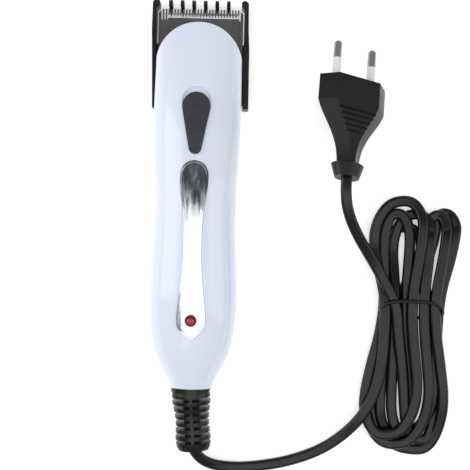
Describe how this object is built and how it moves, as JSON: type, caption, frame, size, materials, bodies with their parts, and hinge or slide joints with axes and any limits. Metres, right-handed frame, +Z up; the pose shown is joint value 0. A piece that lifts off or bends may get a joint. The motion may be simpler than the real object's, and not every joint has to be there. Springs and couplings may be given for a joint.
{
  "type": "electric pet clipper",
  "caption": "Corded electric pet hair clipper with a slide switch, indicator light, toothed blade set, clip-on comb and a tied mains lead with a two-pin plug.",
  "frame": {"origin": "on the surface that the clipper lies on, under the middle of the box around the clipper, its strain relief and its fitted comb; the cord, plug and hank are not counted", "axes": "+Z up, out of the front with the switch; +Y from the cord end to the blades; +X across the clipper towards its wound cord"},
  "size_m": [0.1485, 0.2241, 0.0348],
  "materials": {
    "white_shell": "glossy white injection-moulded ABS with a cool tint",
    "black_plastic": "fine-textured dark grey ABS",
    "comb_plastic": "satin black polypropylene",
    "chrome": "mirror chrome-plated ABS",
    "dark_bezel": "dark moulded ring",
    "red_lens": "clear red LED epoxy",
    "circuit_board": "phenolic circuit board",
    "resistor_ceramic": "carbon-film resistor body",
    "switch_plastic": "black switch housing",
    "brass": "plain brass terminals",
    "blade_steel": "ground carbon steel, fine grind lines",
    "spring_steel": "polished spring steel",
    "zinc_steel": "zinc-plated steel",
    "core_steel": "stacked silicon-steel laminations",
    "inner_nylon": "natural nylon",
    "drive_nylon": "white acetal",
    "copper": "enamelled copper wire winding",
    "cord_rubber": "satin black soft PVC",
    "plug_pvc": "fine-grained black moulded PVC",
    "nickel": "nickel-plated brass",
    "sleeve_plastic": "pale insulating sleeve",
    "tie_plastic": "plastic-covered tie wire",
    "wire_pvc": "insulated hook-up wire"
  },
  "bodies": {
    "casing": {"front_shell": "white_shell", "rear_shell": "white_shell", "casing_screws": "zinc_steel", "chrome_trim": "chrome", "led_bezel": "dark_bezel", "led_lens": "red_lens", "led_board": "circuit_board", "led_legs": "zinc_steel", "led_resistor": "resistor_ceramic", "switch_body": "switch_plastic", "switch_bracket": "switch_plastic", "switch_terminals": "brass", "fixed_blade": "blade_steel", "blade_bracket": "black_plastic", "blade_spring": "spring_steel", "blade_screws": "zinc_steel", "pivot_pin": "zinc_steel", "pivot_clip": "spring_steel", "return_spring": "spring_steel", "stator_core": "core_steel", "stator_screws": "zinc_steel", "coil_bobbin": "inner_nylon", "coil_winding": "copper", "cord_clamp": "inner_nylon", "clamp_screws": "zinc_steel", "strain_relief": "cord_rubber", "inner_cord": "cord_rubber", "lead_wires": "wire_pvc", "plug_body": "plug_pvc", "plug_pins": "nickel", "pin_sleeves": "sleeve_plastic", "cord_hank": "cord_rubber", "cord_tie": "tie_plastic", "clipper_lead": "cord_rubber", "plug_lead": "cord_rubber"},
    "arm": {"vibrator_arm": "inner_nylon", "armature": "core_steel", "drive_tip": "drive_nylon"},
    "moving_blade": {"moving_blade": "blade_steel"},
    "switch": {"switch_slider": "black_plastic", "switch_actuator": "black_plastic"},
    "comb": {"comb": "comb_plastic"}
  },
  "joints": [
    {"name": "armature_swing", "type": "hinge", "parent": "casing", "child": "arm", "pos_m": [0.008, -0.03, 0.0155], "axis": [0, 0, 1], "range_deg": [0, 1.2], "deforming": ["return_spring"]},
    {"name": "blade_slide", "type": "slide", "parent": "casing", "child": "moving_blade", "axis": [1, 0, 0], "range_m": [-0.00241, 0]},
    {"name": "switch_slide", "type": "slide", "parent": "casing", "child": "switch", "axis": [0, 1, 0], "range_m": [0, 0.0024]},
    {"name": "comb_slide", "type": "slide", "parent": "casing", "child": "comb", "axis": [0, 1, 0], "range_m": [0, 0.055]}
  ],
  "couplings": [
    {"joint": "blade_slide", "follows": "armature_swing", "m_per_rad": -0.115}
  ]
}
